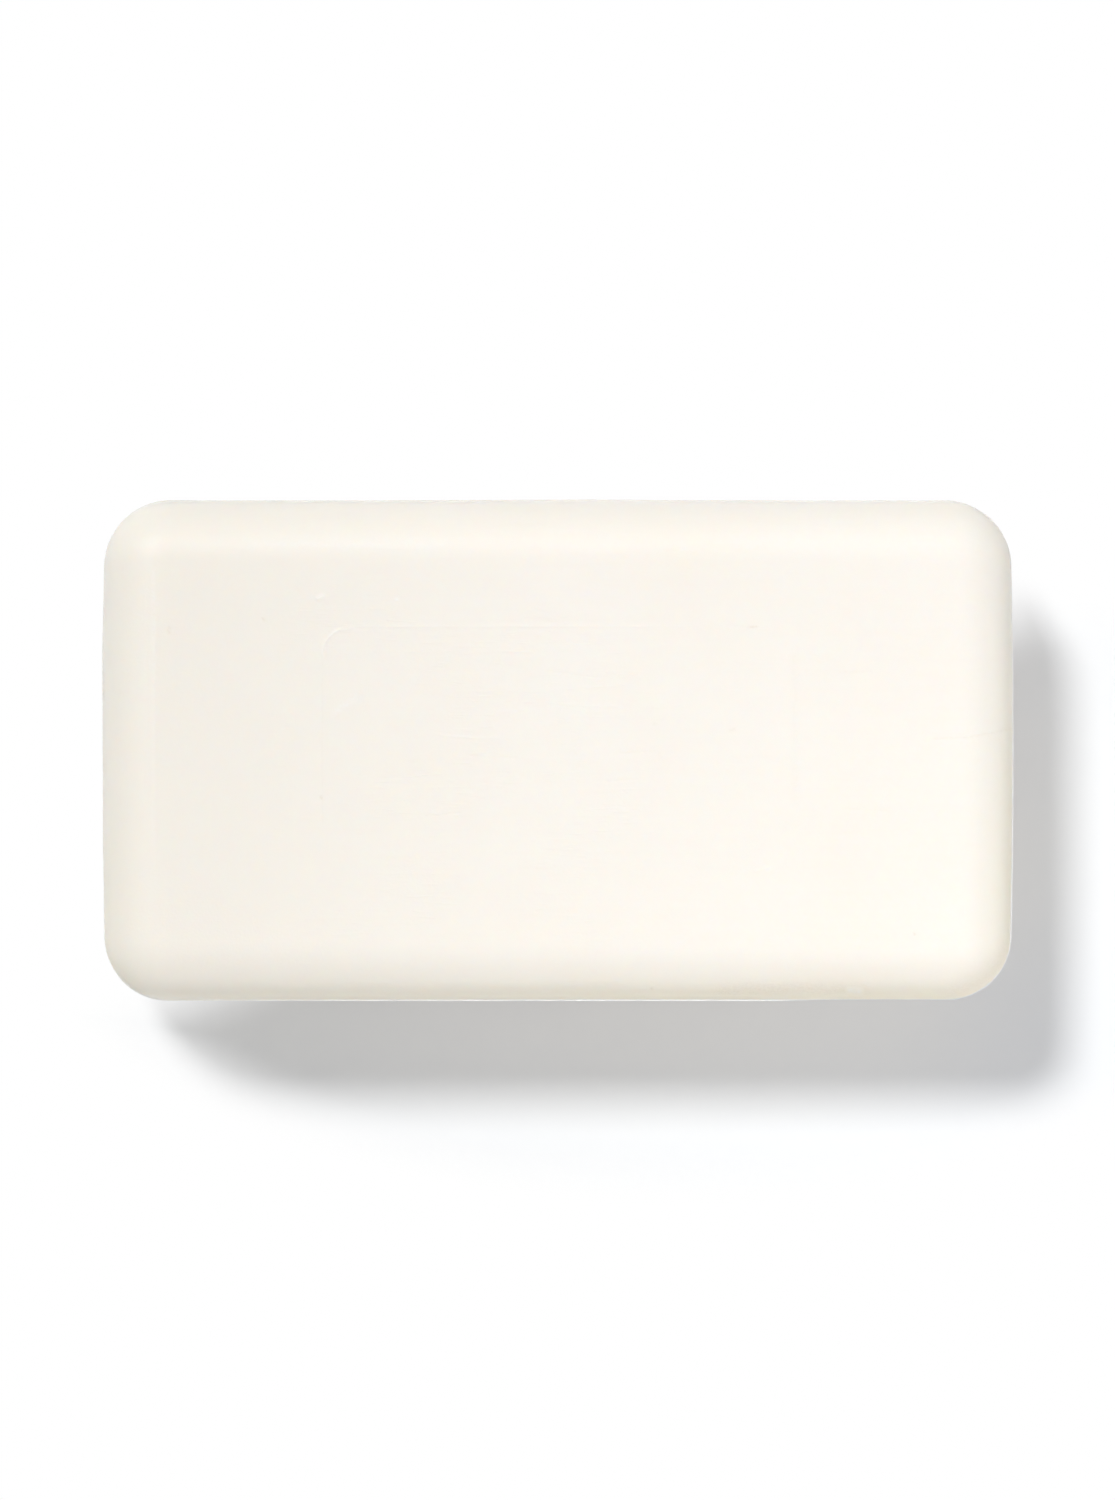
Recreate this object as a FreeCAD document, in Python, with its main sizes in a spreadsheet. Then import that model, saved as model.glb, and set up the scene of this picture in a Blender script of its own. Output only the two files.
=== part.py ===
# Bar of toilet soap, one piece, pressed between two dies that meet half way up.
# Millimetres, +Z up, long side along X, rear side at +Y. The origin is on the surface that the
# bar lies on, under the middle of its outline.
import FreeCAD, Part
import os
from math import asin, degrees, radians, tan
import Sketcher

# Driving dimensions: alias, value and what it measures. Lengths are in mm, angles in degrees.
SIZES = [
    ("bar_length", 96.0, "over the two ends, at the parting line"),
    ("bar_width", 52.7, "over the two long sides, at the parting line"),
    ("bar_height", 27.0, "from the underside to the upper face"),
    ("parting_height", 13.5, "where the two dies meet"),
    ("wall_draft", 3.0, "lean of the walls, which frees the bar from the dies"),
    ("edge_radius", 5.75, "rounding between the walls and the two faces"),
    ("rear_corner", 6.8, "corner radius in plan, rear side"),
    ("front_corner", 6.5, "corner radius in plan, front side"),
    ("end_bow_radius", 900.0, "radius of the slight outward bow of each end"),
    ("flash_proud", 0.11, "how far the parting flash stands out of the wall"),
    ("flash_root", 0.05, "how deep the flash is let into the wall"),
    ("flash_rise", 0.2, "half the height of the flash, at its root"),
    ("insert_length", 48.8, "die insert mark along X, middle of its line"),
    ("insert_width", 25.6, "die insert mark along Y, middle of its line"),
    ("insert_corner", 3.0, "corner radius of the die insert mark"),
    ("line_width", 0.3, "foot of the raised line round the die insert"),
    ("line_height", 0.06, "height of that line"),
    ("line_slope", 50.0, "lean of its flanks from upright"),
]
size = {alias: value for alias, value, meaning in SIZES}

# Largest difference in height, in mm, between the ends of an edge that counts as level
LEVEL_TOLERANCE = 1e-4

doc = FreeCAD.newDocument("soap_bar")
sheet = doc.addObject("Spreadsheet::Sheet", "sizes")
for row, (alias, value, meaning) in enumerate(SIZES, start=1):
    sheet.set("A%d" % row, meaning)
    sheet.set("B%d" % row, str(value))
    sheet.setAlias("B%d" % row, alias)
doc.recompute()


def line(start, end):
    """Straight element of a sketch, from one point to the other."""
    return Part.LineSegment(FreeCAD.Vector(*start, 0), FreeCAD.Vector(*end, 0))


def arc(centre, radius, start_angle, end_angle):
    """Arc of a sketch, anticlockwise from one angle to the other, in degrees."""
    circle = Part.Circle(FreeCAD.Vector(*centre, 0), FreeCAD.Vector(0, 0, 1), radius)
    return Part.ArcOfCircle(circle, radians(start_angle), radians(end_angle))


def level_sketch(body, name, height):
    """Empty sketch parallel to the body's own XY plane; height is an expression."""
    sketch = body.newObject("Sketcher::SketchObject", name)
    plane = [feature for feature in body.Origin.OriginFeatures if feature.Role == "XY_Plane"][0]
    sketch.AttachmentSupport = [(plane, "")]
    sketch.MapMode = "FlatFace"
    sketch.setExpression("AttachmentOffset.Base.z", height)
    return sketch


def draw_loop(sketch, elements):
    """Adds the elements and joins each to the next by a tangent, all the way round."""
    ids = list(sketch.addGeometry(elements, False))
    for here, following in zip(ids, ids[1:] + ids[:1]):
        sketch.addConstraint(Sketcher.Constraint("Tangent", here, 2, following, 1))
    return ids


def same_radius(sketch, first, *others):
    for other in others:
        sketch.addConstraint(Sketcher.Constraint("Equal", first, other))


def measure(sketch, name, expression, kind, *values):
    """Adds a dimension, names it and ties it to the sheet."""
    index = sketch.addConstraint(Sketcher.Constraint(kind, *values))
    sketch.renameConstraint(index, name)
    sketch.setExpression("Constraints." + name, expression)


def draw_girth(sketch, outset, outset_term):
    """The bar's outline: straight long sides, bowed ends and round corners.

    The loop runs anticlockwise from the front side. outset moves all of it outwards, and
    outset_term says the same as an expression.
    """
    half_length = size["bar_length"] / 2 + outset
    half_width = size["bar_width"] / 2 + outset
    front = size["front_corner"] + outset
    rear = size["rear_corner"] + outset
    bow = size["end_bow_radius"] + outset
    bow_reach = bow - half_length
    front_x, front_y = half_length - front, front - half_width
    rear_x, rear_y = half_length - rear, half_width - rear
    lean = degrees(asin(rear_y / bow))
    ids = draw_loop(sketch, [
        line((-front_x, -half_width), (front_x, -half_width)),
        arc((front_x, front_y), front, 270, 360 - lean),
        arc((-bow_reach, 0), bow, -lean, lean),
        arc((rear_x, rear_y), rear, lean, 90),
        line((rear_x, half_width), (-rear_x, half_width)),
        arc((-rear_x, rear_y), rear, 90, 180 - lean),
        arc((bow_reach, 0), bow, 180 - lean, 180 + lean),
        arc((-front_x, front_y), front, 180 + lean, 270),
    ])
    front_side, front_right, right_end, rear_right = ids[:4]
    rear_side, rear_left, left_end, front_left = ids[4:]
    for side in (front_side, rear_side):
        sketch.addConstraint(Sketcher.Constraint("Horizontal", side))
    for end in (right_end, left_end):
        sketch.addConstraint(Sketcher.Constraint("PointOnObject", end, 3, -1))
    same_radius(sketch, front_right, front_left)
    same_radius(sketch, rear_right, rear_left)
    same_radius(sketch, right_end, left_end)

    half_width_term = "sizes.bar_width / 2" + outset_term
    reach_term = "sizes.end_bow_radius - sizes.bar_length / 2"
    measure(sketch, "front", half_width_term, "DistanceY", front_side, 1, -1, 1, half_width)
    measure(sketch, "rear", half_width_term, "DistanceY", -1, 1, rear_side, 1, half_width)
    measure(sketch, "right_reach", reach_term, "DistanceX", right_end, 3, -1, 1, bow_reach)
    measure(sketch, "left_reach", reach_term, "DistanceX", -1, 1, left_end, 3, bow_reach)
    measure(sketch, "bow", "sizes.end_bow_radius" + outset_term, "Radius", right_end, bow)
    measure(sketch, "front_corner", "sizes.front_corner" + outset_term, "Radius", front_right, front)
    measure(sketch, "rear_corner", "sizes.rear_corner" + outset_term, "Radius", rear_right, rear)


def draw_insert(sketch, outset, outset_term):
    """The die insert's outline, a rectangle with round corners, moved outwards by the outset."""
    half_length = size["insert_length"] / 2 + outset
    half_width = size["insert_width"] / 2 + outset
    corner = size["insert_corner"] + outset
    centre_x, centre_y = half_length - corner, half_width - corner
    ids = draw_loop(sketch, [
        line((-centre_x, -half_width), (centre_x, -half_width)),
        arc((centre_x, -centre_y), corner, 270, 360),
        line((half_length, -centre_y), (half_length, centre_y)),
        arc((centre_x, centre_y), corner, 0, 90),
        line((centre_x, half_width), (-centre_x, half_width)),
        arc((-centre_x, centre_y), corner, 90, 180),
        line((-half_length, centre_y), (-half_length, -centre_y)),
        arc((-centre_x, -centre_y), corner, 180, 270),
    ])
    front, front_right, right, rear_right, rear, rear_left, left, front_left = ids
    for side in (front, rear):
        sketch.addConstraint(Sketcher.Constraint("Horizontal", side))
    for side in (right, left):
        sketch.addConstraint(Sketcher.Constraint("Vertical", side))
    same_radius(sketch, front_right, rear_right, rear_left)

    half_length_term = "sizes.insert_length / 2" + outset_term
    half_width_term = "sizes.insert_width / 2" + outset_term
    measure(sketch, "front", half_width_term, "DistanceY", front, 1, -1, 1, half_width)
    measure(sketch, "rear", half_width_term, "DistanceY", -1, 1, rear, 1, half_width)
    measure(sketch, "right", half_length_term, "DistanceX", -1, 1, right, 1, half_length)
    measure(sketch, "left", half_length_term, "DistanceX", left, 1, -1, 1, half_length)
    measure(sketch, "corner", "sizes.insert_corner" + outset_term, "Radius", front_right, corner)


def drafted(body, kind, name, sketch, length, draft, downward=False):
    """Pad or pocket that narrows away from its sketch; length and draft are expressions."""
    feature = body.newObject("PartDesign::" + kind, name)
    feature.Profile = sketch
    feature.setExpression("Length", length)
    feature.setExpression("TaperAngle", "-(%s)" % draft)
    feature.Reversed = downward
    return feature


def settle(body, feature, adds=True):
    """Recomputes, and stops where the feature didn't add or take off material as it should."""
    before = volumes[-1]
    doc.recompute()
    after = feature.Shape.Volume
    if (after > before) != adds:
        raise RuntimeError("%s changed the volume from %.2f to %.2f" % (feature.Name, before, after))
    volumes.append(after)
    body.Tip = feature
    print("%-12s %10.1f mm3" % (feature.Name, after))


def face_rims(shape):
    """Names of the level edges round the underside and round the upper face."""
    names = []
    for number, edge in enumerate(shape.Edges, start=1):
        for height in (0.0, size["bar_height"]):
            if all(abs(vertex.Z - height) < LEVEL_TOLERANCE for vertex in edge.Vertexes):
                names.append("Edge%d" % number)
    return names


body = doc.addObject("PartDesign::Body", "soap_bar")
body.Label = "soap_bar"
volumes = [0.0]

# The two halves, each narrowing into its own die
girth = level_sketch(body, "girth", "sizes.parting_height")
draw_girth(girth, 0.0, "")
upper_rise = "sizes.bar_height - sizes.parting_height"
settle(body, drafted(body, "Pad", "upper_half", girth, upper_rise, "sizes.wall_draft"))
lower_half = drafted(body, "Pad", "lower_half", girth, "sizes.parting_height", "sizes.wall_draft", True)
settle(body, lower_half)

# The rounding round both faces, nearly as large as the corners in plan
rounding = body.newObject("PartDesign::Fillet", "rounding")
rounding.Base = (lower_half, face_rims(lower_half.Shape))
rounding.setExpression("Radius", "sizes.edge_radius")
settle(body, rounding, adds=False)

# Parting flash: a low ridge all round the girth, where soap was squeezed out between the dies
flash_line = level_sketch(body, "flash_line", "sizes.parting_height")
draw_girth(flash_line, size["flash_proud"], " + sizes.flash_proud")
flash_slope = "atan((sizes.flash_proud + sizes.flash_root) / sizes.flash_rise)"
for name, downward in (("flash_above", False), ("flash_below", True)):
    flash = drafted(body, "Pad", name, flash_line, "sizes.flash_rise", flash_slope, downward)
    settle(body, flash)

# Insert mark: the seam round the die's loose middle leaves a fine raised line on the upper face.
# A low plateau is padded up to the line's outer foot, and all inside its inner foot comes off.
half_line = size["line_width"] / 2
flank_run = size["line_height"] * tan(radians(size["line_slope"]))
plateau = level_sketch(body, "plateau_outline", "sizes.bar_height")
draw_insert(plateau, half_line, " + sizes.line_width / 2")
settle(body, drafted(body, "Pad", "plateau", plateau, "sizes.line_height", "sizes.line_slope"))
inside = level_sketch(body, "inside_outline", "sizes.bar_height + sizes.line_height")
draw_insert(inside, flank_run - half_line,
            " + sizes.line_height * tan(sizes.line_slope) - sizes.line_width / 2")
settle(body, drafted(body, "Pocket", "inside", inside, "sizes.line_height", "sizes.line_slope"),
       adds=False)

failed = [item.Name for item in doc.Objects if "Invalid" in item.State or "Error" in item.State]
if failed:
    raise RuntimeError("failed objects: " + ", ".join(failed))
shape = body.Shape
if shape.isNull() or not shape.isValid() or len(shape.Solids) != 1:
    raise RuntimeError("the bar isn't one sound solid")

os.makedirs("parts", exist_ok=True)
shape.exportStep("parts/%s.step" % body.Label)
print("%d faces, volume %.1f cm3" % (len(shape.Faces), shape.Volume / 1000))
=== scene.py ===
import math

import bmesh
import bpy
import numpy as np
from bpy.props import FloatProperty, FloatVectorProperty, PointerProperty, StringProperty
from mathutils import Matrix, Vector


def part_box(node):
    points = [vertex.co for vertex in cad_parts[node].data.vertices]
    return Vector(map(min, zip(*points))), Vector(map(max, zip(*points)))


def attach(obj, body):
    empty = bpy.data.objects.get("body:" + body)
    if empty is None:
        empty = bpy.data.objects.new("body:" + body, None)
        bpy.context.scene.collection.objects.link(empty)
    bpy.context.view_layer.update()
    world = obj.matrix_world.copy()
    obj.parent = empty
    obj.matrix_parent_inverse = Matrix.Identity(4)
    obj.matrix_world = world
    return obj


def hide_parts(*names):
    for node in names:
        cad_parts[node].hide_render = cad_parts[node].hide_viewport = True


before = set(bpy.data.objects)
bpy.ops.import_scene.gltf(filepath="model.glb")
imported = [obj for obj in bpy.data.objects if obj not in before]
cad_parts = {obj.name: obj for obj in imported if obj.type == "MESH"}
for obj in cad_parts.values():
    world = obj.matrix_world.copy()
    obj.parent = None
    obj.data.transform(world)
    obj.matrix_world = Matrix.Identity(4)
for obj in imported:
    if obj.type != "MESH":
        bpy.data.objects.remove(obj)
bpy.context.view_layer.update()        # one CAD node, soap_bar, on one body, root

bl_info = {
    "name": "Pressed soap bar",
    "version": (1, 0, 0),
    "blender": (4, 5, 0),
    "location": "3D View > Sidebar > Soap",
    "description": "Presses a bar of toilet soap, marks it as handling does and lights it from above",
    "category": "Add Mesh",
}

MM = 0.001
NODE = "soap_bar"
BAR_LOW, BAR_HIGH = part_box(NODE)

# The flash reaches the CAD box, so the bar without it is this much smaller on each side
FLASH_PROUD = 0.2 * MM
# Height of the solid's insert line, which the CAD box holds too
SOLID_LINE_HEIGHT = 0.06 * MM

# Vertices of the skin before it is pressed: along X, along Y, and up each half
ALONG_X, ALONG_Y = 143, 81
CORNER_CELLS = 10
WALL_LEVELS, ROUND_LEVELS, FLAT_LEVELS, LINE_LEVELS = 12, 14, 20, 6
HALF_LEVELS = WALL_LEVELS + ROUND_LEVELS + FLAT_LEVELS + LINE_LEVELS
# The wall's levels crowd towards the flash by this power
WALL_CROWDING = 4.0

# Share of the flash that is kept where it tears most, what the front and the right end add to
# the noise that tears it, and how much of its height is a flat tip
LEAST_FLASH = 0.35
FRONT_FLASH, RIGHT_FLASH = 0.35, 0.3
FLASH_TIP = 0.04

# Share of the insert line's height where the die fits closest and loosest, and along the front
CLOSEST_FIT, LOOSEST_FIT = 0.15, 0.75
FRONT_LINE = 0.12

# The slight ridge round the upper flat, and its share away from the left end
RIDGE_HEIGHT = 0.05 * MM
RIDGE_ELSEWHERE = 0.25

# Middle of the scuffed patch, and how far from it the scuffs are full and faintest
SCUFF_MIDDLE = (-6 * MM, 1 * MM, 27 * MM)
SCUFFS_FULL, SCUFFS_FAINT = 12 * MM, 34 * MM

# Along X, where the left end's darker, yellower tint is full and where it ends
LEFT_TONE_FULL, LEFT_TONE_END = -48 * MM, 0.0

# Away from the parting line, where the warm painted shade is full and where it ends, and the same for the
# flash's paler colour, a painted highlight, and its gloss
RIM_SHADE_FULL, RIM_SHADE_END = 8.9 * MM, 13.8 * MM
FLASH_FULL, FLASH_END = 0.12 * MM, 0.2 * MM

# Direction in plan, roughly away from the key lamp, and how far along it the shaded side starts
# and is full
OFF_LAMP = (0.4, -1.0, 0)
SHADE_START, SHADE_FULL = -15 * MM, 30 * MM

# Depths of the finest unevenness, and how far the grit moves the roughness either way
STREAK_DEPTH, SCUFF_DEPTH, GRIT_DEPTH = 0.006 * MM, 0.015 * MM, 0.012 * MM
ROUGHNESS_SWING = 0.05

# The floor is plain white to the camera outside an oval round the shadow, whose edge fades between
# these distances along X, and on the lit side, whose edge fades between these distances along a
# direction roughly towards the key lamp. Both edges reach into the shadow's two ends, where this
# white is painted light over the cast shadow
SHADOW_MIDDLE = (13 * MM, -12 * MM, 0)
OVAL_SQUEEZE = (1, 2, 0)
OVAL_START, OVAL_END = 60 * MM, 74 * MM
TOWARDS_LAMP = (-0.42, 0.91, 0)
LIT_START, LIT_FULL = -13.5 * MM, -3 * MM
CARD = "#F1F3F4"

# Lamps: the fill's width, the strips' length, and the heights of the low strip and of the two glints
FILL_WIDTH = 150 * MM
STRIP_LENGTH = 100 * MM
STRIP_HEIGHT, GLINT_HEIGHT = 20 * MM, 40 * MM

# The photo is 1115 by 1500 pixels. The bar's outline is this long in it, over the flash.
IMAGE_HEIGHT = 1500
OUTLINE_PIXELS = 912


def linear(hex_colour):
    """sRGB hex colour as linear red, green and blue."""
    values = [int(hex_colour[i:i + 2], 16) / 255 for i in (1, 3, 5)]
    return [v / 12.92 if v <= 0.04045 else ((v + 0.055) / 1.055) ** 2.4 for v in values]


def add(tree, kind, inputs=None, **settings):
    """Adds a node with its settings; an input is a value, or an output that is linked to it."""
    node = tree.nodes.new(kind)
    for name, value in settings.items():
        setattr(node, name, value)
    for key, value in (inputs or {}).items():
        if isinstance(value, bpy.types.NodeSocket):
            tree.links.new(value, node.inputs[key])
        else:
            node.inputs[key].default_value = value
    return node


class SoapSizes(bpy.types.PropertyGroup):
    """Sizes of the bar, from the CAD box and the dies."""
    length: FloatProperty(name="Length", description="Over the two ends, without the flash",
                          default=BAR_HIGH.x - BAR_LOW.x - 2 * FLASH_PROUD, unit="LENGTH")
    width: FloatProperty(name="Width", description="Over the two long sides, without the flash",
                         default=BAR_HIGH.y - BAR_LOW.y - 2 * FLASH_PROUD, unit="LENGTH")
    height: FloatProperty(name="Height", description="From the underside to the upper face",
                          default=BAR_HIGH.z - BAR_LOW.z - SOLID_LINE_HEIGHT, unit="LENGTH")
    draft: FloatProperty(name="Draft", description="Lean of the walls away from the parting line",
                         default=math.radians(3), subtype="ANGLE")
    edge_radius: FloatProperty(name="Edge radius", description="Rounding between walls and faces",
                               default=5.75 * MM, unit="LENGTH")
    rear_corner: FloatProperty(name="Rear corner", description="Corner radius in plan, at +Y",
                               default=6.8 * MM, unit="LENGTH")
    front_corner: FloatProperty(name="Front corner", description="Corner radius in plan, at -Y",
                                default=6.5 * MM, unit="LENGTH")
    bow_radius: FloatProperty(name="End bow", description="Radius of the bowed ends",
                              default=900 * MM, unit="LENGTH")
    flash_proud: FloatProperty(name="Flash", description="How far the parting flash stands out",
                               default=FLASH_PROUD, unit="LENGTH")
    flash_rise: FloatProperty(name="Flash rise", description="Half the height of the flash",
                              default=0.17 * MM, unit="LENGTH")
    insert_length: FloatProperty(name="Insert length", description="Die insert mark along X",
                                 default=48.8 * MM, unit="LENGTH")
    insert_width: FloatProperty(name="Insert width", description="Die insert mark along Y",
                                default=25.6 * MM, unit="LENGTH")
    insert_corner: FloatProperty(name="Insert corner", description="Corner radius of that mark",
                                 default=3.0 * MM, unit="LENGTH")
    line_width: FloatProperty(name="Line width", description="Foot of the raised insert line",
                              default=0.3 * MM, unit="LENGTH")
    line_height: FloatProperty(name="Line height", description="Height of the insert line",
                               default=0.034 * MM, unit="LENGTH")


class SoapFinish(bpy.types.PropertyGroup):
    """Colours and surface of the soap."""
    paste: StringProperty(name="Paste", description="sRGB colour of the soap paste", default="#FEF6EE")
    deep_paste: StringProperty(name="Deep paste", description="sRGB colour of the yellower streaks",
                               default="#FCF2E7")
    left_end_paste: StringProperty(name="Left end paste", description="sRGB colour of the yellower end, at -X",
                               default="#F5F0E6")
    # Painted shade: this warm colour is laid low on the sides away from the key lamp
    rim_painted_shade: StringProperty(name="Rim painted shade", description="sRGB colour at the parting line",
                              default="#F9EBC4")
    # Also the colour of the painted highlight on the flash and on the crease marks
    chalk: StringProperty(name="Chalk", description="sRGB colour of rubbed spots and of the flash",
                          default="#FFFDFA")
    # Also the colour of the painted shade on the front right corner
    grime: StringProperty(name="Grime", description="sRGB colour of specks and of the rubbed end",
                          default="#B49C78")
    rim_height: FloatProperty(name="Rim height", description="Height of the parting line",
                              default=13.5 * MM, unit="LENGTH")
    roughness: FloatProperty(name="Roughness", description="Satin of the pressed skin",
                             default=0.5, min=0, max=1)
    scatter: FloatProperty(name="Scatter", description="How far red light wanders in the paste",
                           default=4 * MM, unit="LENGTH")
    streak_spacing: FloatProperty(name="Streak spacing", description="Across the milling streaks",
                                  default=0.7 * MM, unit="LENGTH")
    streak_length: FloatProperty(name="Streak length", description="Along the milling streaks",
                                 default=14 * MM, unit="LENGTH")
    scuff_spacing: FloatProperty(name="Scuff spacing", description="Across the fine scuffs",
                                 default=0.45 * MM, unit="LENGTH")
    scuff_length: FloatProperty(name="Scuff length", description="Along the fine scuffs",
                                default=4 * MM, unit="LENGTH")
    grit_size: FloatProperty(name="Grit", description="Size of the finest unevenness",
                             default=0.3 * MM, unit="LENGTH")


class SoapStage(bpy.types.PropertyGroup):
    """Floor, lamps and camera."""
    key_elevation: FloatProperty(name="Key elevation", description="Height of the key lamp",
                                 default=math.radians(57.7), subtype="ANGLE")
    key_heading: FloatProperty(name="Key heading", description="Where the key comes from, from +X",
                               default=math.radians(124.0), subtype="ANGLE")
    key_softness: FloatProperty(name="Key softness", description="Angle that the key lamp spans",
                                default=math.radians(12), subtype="ANGLE")
    key_level: FloatProperty(name="Key level", description="Share of white that it gives the floor",
                             default=0.505)
    ambient_level: FloatProperty(name="Ambient level", description="Share from all round",
                                 default=0.297)
    horizon_gain: FloatProperty(name="Horizon gain", description="How much more comes from low down",
                                default=1.0)
    fill_level: FloatProperty(name="Fill level", description="Share from the near fill lamp",
                              default=0.204)
    fill_place: FloatVectorProperty(name="Fill place", description="Where the fill lamp hangs",
                                    default=(0.122, -0.1, 0.21), subtype="TRANSLATION")
    fill_colour: StringProperty(name="Fill colour", description="sRGB colour of the fill lamp",
                                default="#F5F6FF")
    strip_level: FloatProperty(name="Strip level", description="Share that the low front strip gives",
                               default=0.035)
    strip_place: FloatVectorProperty(name="Strip place", description="Where the strip lamp stands",
                                     default=(0.012, -0.34, 0.07), subtype="TRANSLATION")
    glint_level: FloatProperty(name="Glint level", description="Share that each gloss-only strip gives",
                               default=0.12)
    right_place: FloatVectorProperty(name="Right glint place", description="Where the right one stands",
                                     default=(0.34, -0.05, 0.07), subtype="TRANSLATION")
    camera_height: FloatProperty(name="Camera height", description="Lens above the floor",
                                 default=811 * MM, unit="LENGTH")


def input_name(size):
    """Name of the tree's input for one of the bar's sizes, such as Edge Radius for edge_radius."""
    return size.replace("_", " ").title()


def add_input(tree, name, kind):
    """Adds a named input to a geometry tree."""
    tree.interface.new_socket(name=name, in_out="INPUT", socket_type=kind)


def pressing_tree():
    """Geometry tree that presses a cube's grid into the bar.

    The cube runs from -1 to 1. Its sides become the walls, the roundings, the flats outside the
    insert line and the line itself, level by level; its top and bottom are the insert panels.
    """
    tree = bpy.data.node_groups.new("press_bar", "GeometryNodeTree")
    for size in SoapSizes.__annotations__:
        add_input(tree, input_name(size), "NodeSocketFloat")
    add_input(tree, "Material", "NodeSocketMaterial")
    tree.interface.new_socket(name="Geometry", in_out="OUTPUT", socket_type="NodeSocketGeometry")
    given = add(tree, "NodeGroupInput").outputs

    cube = add(tree, "GeometryNodeMeshCube", {
        "Size": (2, 2, 2), "Vertices X": ALONG_X, "Vertices Y": ALONG_Y,
        "Vertices Z": 2 * HALF_LEVELS + 1})
    grid = add(tree, "GeometryNodeInputPosition").outputs[0]
    side = add(tree, "ShaderNodeVectorMath", {0: grid}, operation="SIGN").outputs[0]
    away = add(tree, "ShaderNodeVectorMath", {0: grid}, operation="ABSOLUTE").outputs[0]
    away_parts = add(tree, "ShaderNodeSeparateXYZ", {0: away}).outputs
    side_parts = add(tree, "ShaderNodeSeparateXYZ", {0: side}).outputs
    level = away_parts["Z"]
    grid_parts = add(tree, "ShaderNodeSeparateXYZ", {0: grid}).outputs
    to_end, to_rear = grid_parts["X"], grid_parts["Y"]

    # How far each level has got through the wall, the rounding, the flat and the insert line
    ends = [n / HALF_LEVELS for n in (0, WALL_LEVELS, WALL_LEVELS + ROUND_LEVELS,
                                      HALF_LEVELS - LINE_LEVELS, HALF_LEVELS)]
    through = [add(tree, "ShaderNodeMapRange", {"Value": level, "From Min": low, "From Max": high})
               .outputs[0] for low, high in zip(ends, ends[1:])]
    wall_part = add(tree, "ShaderNodeMath", {0: through[0], 1: WALL_CROWDING},
                    operation="POWER").outputs[0]
    turn = add(tree, "ShaderNodeMapRange", {"Value": through[1], "To Min": given["Draft"],
                                            "To Max": math.pi / 2}).outputs[0]

    # Rise from the parting line, and how far the outline has drawn in, at each level
    draft_sine = add(tree, "ShaderNodeMath", {0: given["Draft"]}, operation="SINE").outputs[0]
    draft_cosine = add(tree, "ShaderNodeMath", {0: given["Draft"]}, operation="COSINE").outputs[0]
    draft_tangent = add(tree, "ShaderNodeMath", {0: given["Draft"]}, operation="TANGENT").outputs[0]
    turn_sine = add(tree, "ShaderNodeMath", {0: turn}, operation="SINE").outputs[0]
    turn_cosine = add(tree, "ShaderNodeMath", {0: turn}, operation="COSINE").outputs[0]
    half_height = add(tree, "ShaderNodeMath", {0: given["Height"], 1: 0.5}, operation="MULTIPLY")
    centre_rise = add(tree, "ShaderNodeMath", {0: half_height.outputs[0], 1: given["Edge Radius"]},
                      operation="SUBTRACT").outputs[0]
    wall_rise = add(tree, "ShaderNodeMath", {0: given["Edge Radius"], 1: draft_sine,
                                             2: centre_rise}, operation="MULTIPLY_ADD").outputs[0]
    wall_now = add(tree, "ShaderNodeMath", {0: wall_part, 1: wall_rise}, operation="MULTIPLY").outputs[0]
    sine_gain = add(tree, "ShaderNodeMath", {0: turn_sine, 1: draft_sine}, operation="SUBTRACT")
    rise = add(tree, "ShaderNodeMath", {0: sine_gain.outputs[0], 1: given["Edge Radius"],
                                        2: wall_now}, operation="MULTIPLY_ADD").outputs[0]
    cosine_loss = add(tree, "ShaderNodeMath", {0: draft_cosine, 1: turn_cosine}, operation="SUBTRACT")
    round_inset = add(tree, "ShaderNodeMath", {0: cosine_loss.outputs[0], 1: given["Edge Radius"]},
                      operation="MULTIPLY").outputs[0]
    inset = add(tree, "ShaderNodeMath", {0: wall_now, 1: draft_tangent, 2: round_inset},
                operation="MULTIPLY_ADD").outputs[0]

    # The flash stands out at the parting line, unevenly, as it tears when the dies open
    tear = add(tree, "ShaderNodeTexNoise", {"Vector": grid, "Scale": 1.6, "Detail": 2.0,
                                            "Roughness": 0.5}).outputs["Fac"]
    front_flash = add(tree, "ShaderNodeMapRange", {"Value": to_rear, "From Min": -1.0, "From Max": -0.9,
                                                   "To Min": FRONT_FLASH, "To Max": 0.0}).outputs[0]
    worn_end = add(tree, "ShaderNodeMapRange", {"Value": to_end, "From Min": 0.45, "From Max": 0.62,
                                                "To Min": 1.0, "To Max": 0.0}).outputs[0]
    front_tear = add(tree, "ShaderNodeMath", {0: front_flash, 1: worn_end, 2: tear},
                     operation="MULTIPLY_ADD").outputs[0]
    right_flash = add(tree, "ShaderNodeMapRange", {"Value": to_end, "From Min": 0.97, "From Max": 1.0,
                                                   "To Min": 0.0, "To Max": RIGHT_FLASH}).outputs[0]
    tear_now = add(tree, "ShaderNodeMath", {0: front_tear, 1: right_flash}, operation="ADD").outputs[0]
    tear_share = add(tree, "ShaderNodeMapRange", {"Value": tear_now, "From Min": 0.4, "From Max": 0.65,
                                                  "To Min": LEAST_FLASH, "To Max": 1.0}).outputs[0]
    tip_rise = add(tree, "ShaderNodeMath", {0: given["Flash Rise"], 1: FLASH_TIP},
                   operation="MULTIPLY")
    flash_fade = add(tree, "ShaderNodeMapRange", {
        "Value": rise, "From Min": tip_rise.outputs[0], "From Max": given["Flash Rise"],
        "To Min": given["Flash Proud"], "To Max": 0.0})
    flash = add(tree, "ShaderNodeMath", {0: flash_fade.outputs[0], 1: tear_share},
                operation="MULTIPLY").outputs[0]
    drawn_in = add(tree, "ShaderNodeMath", {0: inset, 1: flash}, operation="SUBTRACT").outputs[0]

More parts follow.
